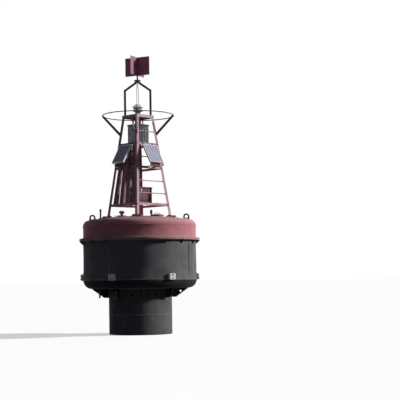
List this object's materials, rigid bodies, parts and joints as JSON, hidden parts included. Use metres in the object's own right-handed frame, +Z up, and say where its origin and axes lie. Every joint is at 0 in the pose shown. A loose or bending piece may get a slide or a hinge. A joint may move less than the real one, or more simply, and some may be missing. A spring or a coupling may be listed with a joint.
{
  "type": "navigation light buoy",
  "caption": "Steel navigation light buoy: drum hull on a tail tube, lattice tower with solar panels, radar reflector, guarded lantern and crossed-plate topmark.",
  "frame": {"origin": "centre of the tail tube foot, on the surface the buoy stands on", "axes": "+Z up through the topmark; -Y towards the near corner of the tower, +X towards its right corner"},
  "size_m": [2.576, 2.576, 5.88],
  "materials": {
    "hull_paint_black": "weathered satin",
    "hull_paint_red": "weathered satin",
    "tower_paint_red": "weathered satin",
    "ring_paint": "dusty",
    "tail_paint": "weathered satin",
    "anode_zinc": "matt",
    "shackle_steel": "rusty",
    "bright_steel": "dull",
    "fitting_black": "satin",
    "reflector_metal": "dull",
    "panel_frame_metal": "satin",
    "panel_cell_glass": "gloss",
    "lamp_lens": "clear",
    "lamp_cap_white": "satin"
  },
  "bodies": {
    "buoy": {"hull_bottom": "hull_paint_black", "hull_drum": "hull_paint_black", "rub_ring": "ring_paint", "ring_gussets": "hull_paint_black", "deck_shell": "hull_paint_red", "anodes": "anode_zinc", "tail_tube": "tail_paint", "mooring_brackets": "hull_paint_black", "lifting_eyes": "hull_paint_red", "deck_hatch": "hull_paint_red", "deck_vent": "hull_paint_red", "deck_post": "fitting_black", "sounding_cap": "fitting_black", "foot_plates": "tower_paint_red", "leg_near": "tower_paint_red", "leg_right": "tower_paint_red", "leg_far": "tower_paint_red", "leg_left": "tower_paint_red", "low_beams": "tower_paint_red", "mid_beams": "tower_paint_red", "high_beams": "tower_paint_red", "ladder_rungs": "tower_paint_red", "cladding_slats": "tower_paint_red", "shelf_bars": "tower_paint_red", "battery_box": "hull_paint_red", "lid_hinge_pin": "bright_steel", "panel_frames": "panel_frame_metal", "panel_cells": "panel_cell_glass", "panel_brackets": "tower_paint_red", "platform": "tower_paint_red", "hoop": "tower_paint_red", "hoop_struts": "tower_paint_red", "radar_reflector": "reflector_metal", "reflector_hangers": "tower_paint_red", "lantern_base": "lamp_cap_white", "lantern_lens": "lamp_lens", "lantern_cap": "lamp_cap_white", "lantern_conduit": "lamp_cap_white", "guard_bars": "tower_paint_red", "hub_flange": "tower_paint_red", "topmark_mast": "tower_paint_red", "topmark_plate_a": "tower_paint_red", "topmark_plate_b": "tower_paint_red"},
    "shackle_front": {"shackle_bow_front": "shackle_steel", "shackle_pin_front": "shackle_steel"},
    "shackle_side": {"shackle_bow_side": "shackle_steel", "shackle_pin_side": "shackle_steel"},
    "battery_lid": {"battery_lid": "hull_paint_red"}
  },
  "joints": [
    {"name": "shackle_front_swing", "type": "hinge", "parent": "buoy", "child": "shackle_front", "pos_m": [-0.4837, -0.71712, 0.902], "axis": [-0.829, 0.5592, 0], "range_deg": [-10, 80]},
    {"name": "shackle_side_swing", "type": "hinge", "parent": "buoy", "child": "shackle_side", "pos_m": [-0.84911, -0.16505, 0.902], "axis": [-0.1908, 0.9816, 0], "range_deg": [-10, 80]},
    {"name": "battery_lid_hinge", "type": "hinge", "parent": "buoy", "child": "battery_lid", "pos_m": [-0.14496, 0.14496, 3.10948], "axis": [-0.7071, -0.7071, 0], "range_deg": [0, 100]}
  ]
}
